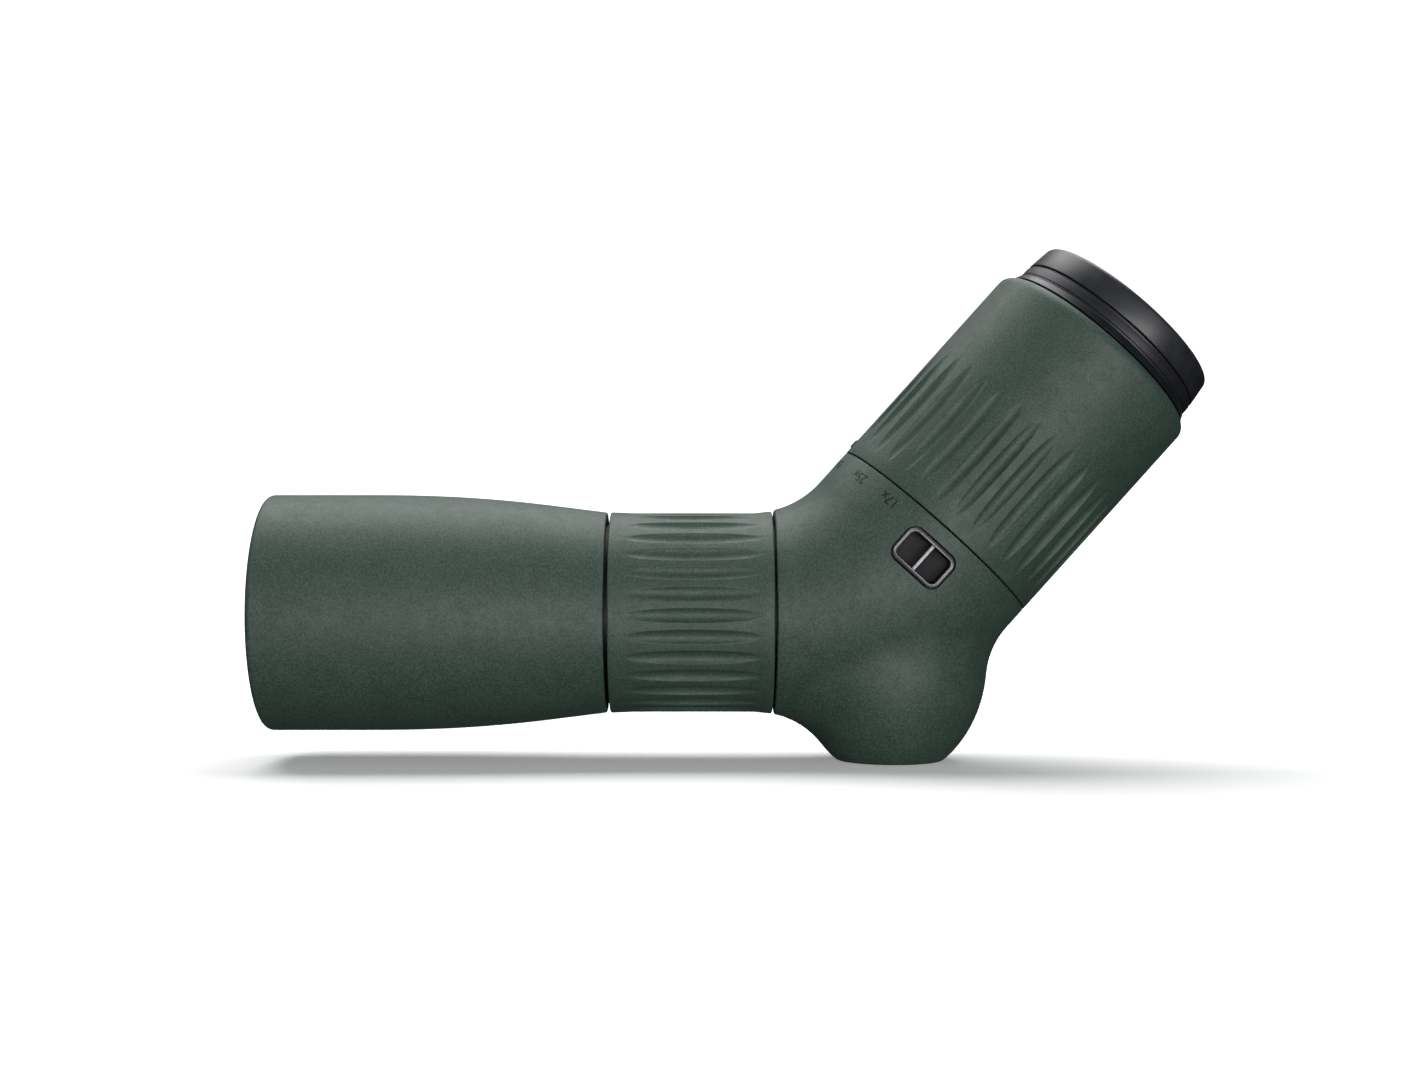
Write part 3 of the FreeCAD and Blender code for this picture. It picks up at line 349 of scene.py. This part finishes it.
def scallopedRing(name, outline, ring):  # one ball-nosed scallop in one sector, which is copied round
    pitch = math.tau / ring["count"]
    halfWide = ring["wide"] / 2
    sectorHalf = pitch * ring["radius"] / 2
    hollow = (halfWide ** 2 + ring["deep"] ** 2) / (2 * ring["deep"])  # the cutter's nose radius
    turns = [0] + [pitch / 2 * (1 - share * halfWide / sectorHalf) for share in scallop["columns"][::-1]]
    columns = turns + [pitch - turn for turn in turns[-2::-1]]
    piece = drawOutline(name, outline)
    for near, far in zip(columns, columns[1:]):
        bpy.ops.mesh.spin(steps=1, angle=far - near, center=(0, 0, 0), axis=(1, 0, 0))
    bpy.ops.object.mode_set(mode="OBJECT")
    for vertex in piece.data.vertices:
        radius = math.hypot(vertex.co.y, vertex.co.z) / mm
        if radius < ring["core"] + scallop["margin"]:
            continue
        angle = math.atan2(vertex.co.y, vertex.co.z)
        turn = abs(angle) - pitch / 2
        place = (vertex.co.x / mm - ring["middle"]) / (ring["long"] / 2)
        deep = ring["deep"] * (1 - place ** 2)
        wide = math.sqrt(max(0, hollow ** 2 - (hollow - max(0, deep)) ** 2))
        wide = max(wide, halfWide * scallop["leastWide"])
        share = abs(turn) * ring["radius"] / halfWide
        run = share * wide
        if share > 1:  # the land takes up the width that a narrowing scallop leaves
            run = wide + (share - 1) * halfWide * (sectorHalf - wide) / (sectorHalf - halfWide)
        bowl = math.sqrt(max(0, hollow ** 2 - min(run, hollow) ** 2)) - (hollow - deep)
        soft = max(0, ring["soft"] - abs(bowl)) / ring["soft"]  # rounds the scallop's edge
        drop = max(0, bowl) + soft ** 2 * ring["soft"] / 4
        if abs(place) > scallop["pastEnd"]:
            drop = 0
        pressed = (radius - drop) * mm
        around = math.copysign(pitch / 2 + math.copysign(run / ring["radius"], turn), angle)
        vertex.co.y = pressed * math.sin(around)
        vertex.co.z = pressed * math.cos(around)
    bpy.ops.object.mode_set(mode="EDIT")
    bpy.ops.mesh.select_all(action="SELECT")
    copies = ring["count"] - 1
    bpy.ops.mesh.spin(steps=copies, dupli=True, angle=pitch * copies, center=(0, 0, 0), axis=(1, 0, 0))
    cleanUp()
    return piece


def evenly(start, end, count):  # places from start to end, both included
    return [start + (end - start) * i / count for i in range(count + 1)]


def crowded(start, end, count):  # the same, closer together towards both ends
    return [(start + end) / 2 - (end - start) / 2 * math.cos(math.pi * i / count) for i in range(count + 1)]


barrel = {"lip": 1.8, "wall": 2.0, "straight": 32.65, "level": 0.5, "steep": 0.766, "flare": 1.75,
          "neck": 29.85, "seamRound": 0.45}


def neckCurve(start, end, inset, steps=30):
    xs = [start, start + barrel["level"] * (end - start), start + barrel["steep"] * (end - start), end]
    rs = [hoodR - inset, hoodR - inset, barrel["neck"] + barrel["flare"] - inset, barrel["neck"] - inset]
    points = []
    for share in evenly(0, 1, steps):
        back = 1 - share
        weights = [back ** 3, 3 * back ** 2 * share, 3 * back * share ** 2, share ** 3]
        points.append((sum(w * x for w, x in zip(weights, xs)), sum(w * r for w, r in zip(weights, rs))))
    return points


def makeBarrelArmour():
    start, end = barrelReach("objective_armour")
    neckStart = start + barrel["straight"]
    lip = barrel["lip"]
    seam = barrel["seamRound"]
    outside = [(start, hoodR - barrel["wall"])]
    outside += arc(start + lip, hoodR - lip, lip, 180, 90, 8)
    outside += neckCurve(neckStart, end, 0)[:-1]
    outside += arc(end - seam, barrel["neck"] - seam, seam, 90, 0, 4)
    inside = neckCurve(neckStart, end, barrel["wall"])[::-1]
    piece = turnPiece("barrel_armour", outside + inside)
    ontoBarrel(piece)
    smooth(piece)
    finish(piece, armourRubber, "housing", ["objective_armour"])


hoodR = max(offBarrel(vertex.co) for vertex in frame["nodes"]["objective_armour"].data.vertices)
makeBarrelArmour()
print("barrel armour turned")


focusGrip = {"count": 30, "wide": 4.2, "long": 39.0, "deep": 1.15, "soft": 0.12, "edge": 0.5, "shift": 0.6,
             "front": 29.85, "waist": 29.6, "rear": 30.1, "frontSlope": 7.6, "rearSlope": 5.7, "core": 28.0,
             "rows": 36}


def makeFocusGrip():
    start, end = barrelReach("focus_ring_grip")
    edge = focusGrip["edge"]
    middle = (start + end) / 2 + focusGrip["shift"]
    half = focusGrip["long"] / 2
    ring = {**focusGrip, "radius": focusGrip["waist"], "middle": middle}
    stops = [(start + edge, focusGrip["front"]), (start + focusGrip["frontSlope"], focusGrip["waist"]),
             (end - focusGrip["rearSlope"], focusGrip["waist"]), (end - edge, focusGrip["rear"])]

    def level(x):
        for (x0, r0), (x1, r1) in zip(stops, stops[1:]):
            if x0 <= x <= x1:
                share = (x - x0) / (x1 - x0)
                return r0 + (r1 - r0) * share * share * (3 - 2 * share)

    outline = [(start, focusGrip["core"])]
    outline += arc(start + edge, focusGrip["front"] - edge, edge, 180, 90, 4)
    places = crowded(middle - half, middle + half, focusGrip["rows"])
    outline += [(x, level(x)) for x in places if start + edge < x < end - edge]
    outline += arc(end - edge, focusGrip["rear"] - edge, edge, 90, 0, 4)
    outline.append((end, focusGrip["core"]))
    piece = scallopedRing("focus_grip", outline, ring)
    ontoBarrel(piece)
    smooth(piece, 60)
    finish(piece, gripRubber, "focus_ring", ["focus_ring_grip"])


makeFocusGrip()
print("focus grip made")


zoomGrip = {"count": 33, "wide": 4.2, "long": 36.0, "deep": 1.3, "soft": 0.12, "edge": 0.15, "middle": 54.8,
            "radius": 35.0, "round": 3.0, "core": 32.0, "rows": 36, "plainFrom": 3.0, "plainTo": 1.0,
            "plainRows": 6,
            "nub": {"t": 36.0, "long": 2.8, "wide": 1.8, "high": 0.45, "root": 1.2, "round": 0.4}}


def makeZoomGrip():
    start = eyeReach("zoom_cam_ring")[0]
    end = eyeReach("zoom_ring_grip")[1]
    edge = zoomGrip["edge"]
    top = zoomGrip["round"]
    front = zoomGrip["middle"] - zoomGrip["long"] / 2
    back = zoomGrip["middle"] + zoomGrip["long"] / 2
    places = crowded(front, back, zoomGrip["rows"])
    places += evenly(back + zoomGrip["plainFrom"], end - top - zoomGrip["plainTo"], zoomGrip["plainRows"])
    outline = [(start, zoomGrip["core"])]
    outline += arc(start + edge, zoomGrip["radius"] - edge, edge, 180, 90, 4)
    outline += [(x, zoomGrip["radius"]) for x in places]
    outline += arc(end - top, zoomGrip["radius"] - top, top, 90, 8, 7)
    outline.append((end, zoomGrip["core"]))
    piece = scallopedRing("zoom_grip", outline, zoomGrip)
    halfPitch = math.pi / zoomGrip["count"]
    applyPlace(piece, rotation=(halfPitch, 0, 0))
    nub = zoomGrip["nub"]
    deselectAll()
    high = nub["high"] + nub["root"]
    bpy.ops.mesh.primitive_cube_add(
        size=1, location=(nub["t"] * mm, 0, (zoomGrip["radius"] + nub["high"] - high / 2) * mm),
        scale=(nub["long"] * mm, nub["wide"] * mm, high * mm))
    mark = named("zoom_nub")
    bpy.ops.object.transform_apply(location=True, rotation=True, scale=True)
    topZ = (zoomGrip["radius"] + nub["high"]) * mm
    pick(mark, "EDGE", lambda edge: all(co.z > topZ - 0.01 * mm for co in ends(mark, edge)))
    bpy.ops.mesh.bevel(offset=nub["round"] * mm, segments=4, affect="EDGES")
    deselectAll()
    mark.select_set(True)
    piece.select_set(True)
    bpy.context.view_layer.objects.active = piece
    bpy.ops.object.join()
    ontoEyepiece(piece)
    smooth(piece, 60)
    finish(piece, gripRubber, "zoom_ring", ["zoom_ring_grip"])


makeZoomGrip()
print("zoom grip made")


# the housing's armour is a cleaned copy of the fixed form, with its moulded edges rounded

housing = {"front": {"round": 0.45, "outside": 29.4}, "top": {"round": 0.15, "outside": 34.5},
           "foot": {"round": 0.9, "outside": 14.0}, "near": 0.02}


def makeHousingArmour():
    source = frame["nodes"]["housing_armour"]
    piece = source.copy()
    piece.data = source.data.copy()
    piece.parent = None
    for key in list(piece.keys()):
        del piece[key]
    bpy.context.scene.collection.objects.link(piece)
    piece.name = "elbow_armour"
    piece.data.name = "elbow_armour"
    deselectAll()
    piece.select_set(True)
    bpy.context.view_layer.objects.active = piece
    bpy.ops.mesh.customdata_custom_splitnormals_clear()
    bpy.ops.object.mode_set(mode="EDIT")
    cleanUp(0.002 * mm)
    near = housing["near"]
    frontX = barrelReach("housing_armour")[0]
    topT = eyeReach("housing_armour")[1]
    rims = [  # each rim's place from its end, and its distance from its axis
        ("front", lambda co: (co.x / mm - frontX, offBarrel(co))),
        ("top", lambda co: (topT - (co - elbow).dot(eyeDirection) / mm, offEye(co))),
        ("foot", lambda co: (co.z / mm, math.hypot(co.x, co.y) / mm)),
    ]
    for key, placeOf in rims:
        bpy.ops.object.mode_set(mode="OBJECT")
        places = [placeOf(vertex.co) for vertex in piece.data.vertices]
        onRim = [inward < near and away > housing[key]["outside"] for inward, away in places]
        pick(piece, "EDGE", lambda edge: all(onRim[end] for end in edge.vertices))
        bpy.ops.mesh.bevel(offset=housing[key]["round"] * mm, segments=4, affect="EDGES", clamp_overlap=False)
    smooth(piece, 40)
    finish(piece, armourRubber, "housing", ["housing_armour"])


makeHousingArmour()
print("elbow armour made")


# collar, base band and eyecup

collar = {"foot": 32.7, "footRound": 0.2, "top": 32.0, "round": 0.5, "inner": 29.0}
band = {"radius": 31.5, "long": 3.3, "floor": 31.05, "groove": 0.3, "grooveAt": 0.75, "chamfer": 0.1,
        "topRound": 0.25, "inner": 26.5}
cup = {"foot": 31.35, "footRound": 0.35, "footHole": 28.1, "footDeep": 1.4, "rim": 30.6, "rimRound": 1.5,
       "lipRound": 0.7, "wall": 2.2, "inner": 25.2}


def makeCollar():
    start, end = eyeReach("collar_ring")
    foot = collar["footRound"]
    top = collar["round"]
    outline = [(start, collar["inner"])]
    outline += arc(start + foot, collar["foot"] - foot, foot, 180, 90, 3)
    outline += arc(end - top, collar["top"] - top, top, 80, 0, 5)
    outline.append((end, collar["inner"]))
    piece = turnPiece("collar", outline)
    ontoEyepiece(piece)
    smooth(piece)
    finish(piece, glossBlack, "housing", ["collar_ring"])


def makeBand():
    start, end = eyeReach("eyecup_base")
    bandEnd = start + band["long"]
    line = start + band["grooveAt"]
    groove = band["groove"]
    radius = band["radius"]
    foot = band["chamfer"]
    top = band["topRound"]
    outline = [(start, band["inner"]), (start, radius - foot), (start + foot, radius),
               (line - groove / 2, radius), (line, radius - groove), (line + groove / 2, radius)]
    outline += arc(bandEnd - top, radius - top, top, 90, 0, 3)
    outline += [(bandEnd, band["floor"]), (end, band["floor"]), (end, band["inner"])]
    piece = turnPiece("eyecup_band", outline)
    ontoEyepiece(piece)
    smooth(piece)
    finish(piece, blackBlasted, "housing", ["eyecup_base"])


def makeCup():
    start, end = eyeReach("eyecup_rubber")
    foot = cup["footRound"]
    rim = cup["rimRound"]
    lip = cup["lipRound"]
    floor = start + cup["footDeep"]
    outline = [(start, cup["footHole"])]
    outline += arc(start + foot, cup["foot"] - foot, foot, 180, 90, 3)
    outline += arc(end - rim, cup["rim"] - rim, rim, 85, 0, 8)
    outline += arc(end - lip, cup["rim"] - cup["wall"] + lip, lip, 0, -80, 5)
    outline += [(floor, cup["inner"]), (floor, cup["footHole"])]
    piece = turnPiece("eyecup", outline)
    ontoEyepiece(piece)
    smooth(piece)
    finish(piece, cupRubber, "eyecup", ["eyecup_rubber"])


makeCollar()
makeBand()
makeCup()
print("collar and eyecup turned")


# strap lugs

lug = {"t": 22.0, "long": 12.05, "high": 17.65, "corner": 3.4, "gap": 0.45, "radius": 35.0, "border": 1.75,
       "steps": [(0.10, 0.20), (0.20, 0.10), (0.32, -0.10), (0.34, -0.12), (0.22, 0.08), (0.12, -0.22)],
       "frameDeep": 1.6, "frameOpen": 2.3, "pocketBelow": 2.5, "pocketLip": 0.35, "pocketDeep": 3.3,
       "pocketRound": [(0.12, -0.25), (0.25, -0.25)], "pocketBack": 4.6,
       "barWide": 1.6, "barThick": 1.2, "barBelow": 0.9, "barRound": 0.5, "barTuck": 0.5}


def length(piece, edge, axis):  # how far an edge runs along one axis
    start, end = ends(piece, edge)
    return abs(end[axis] - start[axis])


def roundedFace(name, long, high, corner, outward):  # a rounded rectangle that faces outward, on the -Y side
    deselectAll()
    bpy.ops.mesh.primitive_plane_add(size=1, rotation=(math.pi / 2, 0, 0))
    piece = named(name)
    piece.scale = (long * mm, high * mm, 1)
    piece.location = (lug["t"] * mm, -outward * mm, 0)
    bpy.ops.object.transform_apply(location=True, rotation=True, scale=True)
    bpy.ops.object.mode_set(mode="EDIT")
    bpy.ops.mesh.select_all(action="SELECT")
    bpy.ops.mesh.bevel(offset=corner * mm, segments=8, affect="VERTICES")
    straight = (high - 2 * corner) * mm
    pick(piece, "EDGE", lambda edge: length(piece, edge, 2) > straight * 0.98)
    bpy.ops.mesh.subdivide(number_cuts=9)
    bpy.ops.mesh.select_mode(type="FACE")
    bpy.ops.mesh.select_all(action="SELECT")
    return piece


def followBarrel(piece, radius):  # bends a flat piece round the eyepiece's cylinder
    bpy.ops.object.mode_set(mode="OBJECT")
    for vertex in piece.data.vertices:
        vertex.co.y += radius * mm - math.sqrt((radius * mm) ** 2 - vertex.co.z ** 2)


def moveOut(far):  # extrudes what is selected outward, on the -Y side
    bpy.ops.mesh.extrude_region_move(TRANSFORM_OT_translate={"value": (0, -far * mm, 0)})


def makeFrameRing(side):
    gap = lug["gap"]
    long = lug["long"] - 2 * gap
    high = lug["high"] - 2 * gap
    back = lug["radius"] - lug["frameDeep"]
    piece = roundedFace("strap_lug_frame_" + side, long, high, lug["corner"] - gap, back)
    moveOut(lug["frameDeep"])
    for width, rise in lug["steps"]:
        bpy.ops.mesh.inset(thickness=width * mm, depth=rise * mm)
    moveOut(-lug["frameOpen"])
    inner = -(back + 0.1) * mm
    pick(piece, "FACE", lambda face: abs(face.normal.y) > 0.99 and face.center.y > inner)
    bpy.ops.mesh.delete(type="FACE")
    bpy.ops.mesh.select_mode(type="EDGE")
    bpy.ops.mesh.select_all(action="DESELECT")
    bpy.ops.mesh.select_non_manifold()
    bpy.ops.mesh.bridge_edge_loops()
    cleanUp()
    followBarrel(piece, lug["radius"])
    return piece


def makePocket(side):
    mouth = lug["radius"] - lug["pocketBelow"]
    piece = roundedFace("strap_lug_pocket_" + side, lug["long"], lug["high"], lug["corner"], mouth)
    bpy.ops.mesh.inset(thickness=(lug["border"] - lug["pocketLip"]) * mm, depth=0)
    moveOut(-lug["pocketDeep"])
    for width, rise in lug["pocketRound"]:
        bpy.ops.mesh.inset(thickness=width * mm, depth=rise * mm)
    bpy.ops.mesh.select_mode(type="EDGE")
    bpy.ops.mesh.select_all(action="DESELECT")
    bpy.ops.mesh.select_non_manifold()
    moveOut(-lug["pocketBack"])
    bpy.ops.mesh.edge_face_add()
    cleanUp()
    return piece


def makeBar(side):
    deselectAll()
    middle = lug["radius"] - lug["barBelow"] - lug["barThick"] / 2
    long = lug["long"] - 2 * (lug["border"] - lug["barTuck"])
    bpy.ops.mesh.primitive_cube_add(
        size=1, location=(lug["t"] * mm, -middle * mm, 0),
        scale=(long * mm, lug["barThick"] * mm, lug["barWide"] * mm))
    piece = named("strap_lug_bar_" + side)
    bpy.ops.object.transform_apply(location=True, rotation=True, scale=True)
    pick(piece, "EDGE", lambda edge: length(piece, edge, 0) > long / 2 * mm)
    bpy.ops.mesh.bevel(offset=lug["barRound"] * mm, segments=5, affect="EDGES")
    return piece


def makeLug(side):
    for piece, material, slot, node in (
            (makeFrameRing(side), satinZinc, "satin_metal", "strap_frame_"),
            (makePocket(side), pocketPlastic, "satin_black", "strap_pocket_"),
            (makeBar(side), groundSteel, "steel", "strap_bar_")):
        if side == "right":
            applyPlace(piece, rotation=(math.pi, 0, 0))
        ontoEyepiece(piece)
        smooth(piece, 40)
        finish(piece, material, "housing", [node + side])


for side in ("left", "right"):
    makeLug(side)
print("strap lugs made")


# zoom scale, filled engraving on the housing's upper end

scale = {"t": 28.2, "size": 4.209, "radius": 35.0, "proud": 0.03, "thick": 0.05,
         "marks": {"17x": 30.6, "25x": 53.4, "35x": 80.0, "40x": 96.2}}


def makeScaleMark(text, degrees):
    deselectAll()
    bpy.ops.object.text_add()
    label = bpy.context.object
    label.data.body = text
    label.data.size = scale["size"] * mm
    label.data.align_x = "CENTER"
    label.data.align_y = "CENTER"
    label.data.extrude = scale["thick"] / 2 * mm
    label.data.resolution_u = 6
    bpy.ops.object.convert(target="MESH")
    piece = named("zoom_mark_" + text)
    bpy.ops.object.mode_set(mode="EDIT")
    bpy.ops.mesh.select_all(action="SELECT")
    bpy.ops.mesh.remove_doubles(threshold=0.005 * mm)
    bpy.ops.object.mode_set(mode="OBJECT")
    for vertex in piece.data.vertices:  # the text's up is -X, and its run is round the eyepiece, upwards
        run, up, out = vertex.co
        turn = math.radians(degrees) + run / (scale["radius"] * mm)
        far = (scale["radius"] + scale["proud"]) * mm - scale["thick"] / 2 * mm + out
        vertex.co = (scale["t"] * mm - up, -far * math.cos(turn), far * math.sin(turn))
    ontoEyepiece(piece)
    bpy.ops.object.mode_set(mode="EDIT")
    bpy.ops.mesh.select_all(action="SELECT")
    bpy.ops.mesh.normals_make_consistent(inside=False)
    bpy.ops.object.mode_set(mode="OBJECT")
    finish(piece, scaleInk, "housing")


for text, degrees in scale["marks"].items():
    makeScaleMark(text, degrees)
print("zoom scale engraved")


# screw threads in the front rim and in the tripod bush

threads = {"filter": {"radius": 31.0, "pitch": 0.75, "turns": 7, "deep": 0.45, "start": 1.0},
           "tripod": {"radius": 3.175, "pitch": 1.27, "turns": 6, "deep": 0.55, "start": 0.7},
           "sunk": 0.15, "crest": 0.12, "steps": 96}


def makeThread(name, thread):
    pitch = thread["pitch"]
    root = thread["radius"] + threads["sunk"]
    crest = thread["radius"] - thread["deep"]
    flank = (1 - threads["crest"]) / 2 * pitch
    start = thread["start"]
    outline = [(start, root), (start + flank, crest), (start + pitch - flank, crest), (start + pitch, root)]
    piece = drawOutline(name, outline)
    bpy.ops.object.mode_set(mode="OBJECT")
    screw = piece.modifiers.new("thread", "SCREW")
    screw.axis = "X"
    screw.screw_offset = pitch * mm
    screw.iterations = thread["turns"]
    screw.steps = threads["steps"]
    screw.render_steps = threads["steps"]
    bpy.ops.object.modifier_apply(modifier=screw.name)
    bpy.ops.object.mode_set(mode="EDIT")
    bpy.ops.mesh.select_mode(type="EDGE")
    bpy.ops.mesh.select_all(action="DESELECT")
    bpy.ops.mesh.select_non_manifold()
    bpy.ops.mesh.edge_face_add()
    cleanUp()
    return piece


filterThread = makeThread("filter_thread_ridges", threads["filter"])
applyPlace(filterThread, location=(barrelReach("objective_armour")[0] * mm, 0, barrelZ))
smooth(filterThread)
finish(filterThread, blackAnodised, "housing")
tripodThread = makeThread("tripod_thread_ridges", threads["tripod"])
applyPlace(tripodThread, rotation=(0, -math.pi / 2, 0))
smooth(tripodThread)
finish(tripodThread, groundSteel, "housing")
print("threads cut")


# floor, light and camera

studio = {"floorSize": 6.0, "wallAt": 2.0, "wallHigh": 4.0, "sweepRound": 1.0, "paper": "#f6f6f5",
          "floorGlow": 0.26, "wallGlow": 1.1, "glowRange": (0.28, 0.75), "air": "#9aa0a6",
          "airRange": (-0.15, 0.45), "airDim": 0.02, "airBright": 0.44, "aim": (-0.045, 0, 0.07)}
softboxes = {
    "top_softbox": {"place": (-0.1, 0.42, 1.15), "size": (1.6, 0.9), "power": 22},
    "front_softbox": {"place": (0.15, -1.45, -0.02), "size": (1.5, 0.3), "power": 21},
}


def makeBackdrop():
    deselectAll()
    middle = studio["wallAt"] - studio["floorSize"] / 2
    bpy.ops.mesh.primitive_plane_add(size=studio["floorSize"], location=(0, middle, 0))
    backdrop = named("studio_sweep")
    bpy.ops.object.transform_apply(location=True)
    wallY = studio["wallAt"] - 0.001
    pick(backdrop, "EDGE", lambda edge: all(co.y > wallY for co in ends(backdrop, edge)))
    bpy.ops.mesh.extrude_region_move(TRANSFORM_OT_translate={"value": (0, 0, studio["wallHigh"])})
    pick(backdrop, "EDGE", lambda edge: all(co.y > wallY and co.z < 0.001 for co in ends(backdrop, edge)))
    bpy.ops.mesh.bevel(offset=studio["sweepRound"], segments=24, affect="EDGES")
    smooth(backdrop)
    paper, tree, shader = newMaterial(
        "matt_studio_paper", Base_Color=linear(studio["paper"]), Roughness=0.95, Specular_IOR_Level=0.0,
        Emission_Color=linear(studio["paper"]))
    place = addNode(tree, "ShaderNodeNewGeometry").outputs["Position"]
    away = addNode(tree, "ShaderNodeVectorMath", {0: place}, operation="LENGTH").outputs["Value"]
    glow = ranged(tree, away, studio["floorGlow"], studio["wallGlow"], *studio["glowRange"])
    tree.links.new(glow, shader.inputs["Emission Strength"])
    backdrop.data.materials.append(paper)
    backdrop.visible_glossy = False
    backdrop.visible_diffuse = False
    backdrop.visible_shadow = False


def makeWorld():
    world = bpy.data.worlds.new("studio")
    bpy.context.scene.world = world
    world.use_nodes = True
    tree = world.node_tree
    direction = addNode(tree, "ShaderNodeTexCoord").outputs["Generated"]
    height = addNode(tree, "ShaderNodeSeparateXYZ", {0: direction}).outputs["Z"]
    strength = ranged(tree, height, studio["airDim"], studio["airBright"], *studio["airRange"])
    tree.nodes["Background"].inputs["Color"].default_value = linear(studio["air"])
    tree.links.new(strength, tree.nodes["Background"].inputs["Strength"])


def addSoftbox(name, softbox):
    light = bpy.data.lights.new(name, "AREA")
    light.shape = "RECTANGLE"
    light.size, light.size_y = softbox["size"]
    light.energy = softbox["power"]
    lamp = bpy.data.objects.new(name, light)
    bpy.context.scene.collection.objects.link(lamp)
    lamp.location = softbox["place"]
    away = Vector(studio["aim"]) - lamp.location
    lamp.rotation_euler = away.to_track_quat("-Z", "Y").to_euler()


camera = {"place": (-0.0576, -0.5726, 0.0616), "lens": 49.2, "sensor": 36.0, "shift": (0.0040, 0.0095)}


def makeCamera():
    data = bpy.data.cameras.new("camera")
    data.lens = camera["lens"]
    data.sensor_width = camera["sensor"]
    data.shift_x, data.shift_y = camera["shift"]
    data.clip_start = 0.01
    eye = bpy.data.objects.new("camera", data)
    bpy.context.scene.collection.objects.link(eye)
    eye.location = camera["place"]
    eye.rotation_euler = (math.pi / 2, 0, 0)
    bpy.context.scene.camera = eye


makeBackdrop()
makeWorld()
for name, softbox in softboxes.items():
    addSoftbox(name, softbox)
makeCamera()
bpy.context.scene.view_settings.view_transform = "Standard"
print("studio set")

bpy.context.view_layer.update()
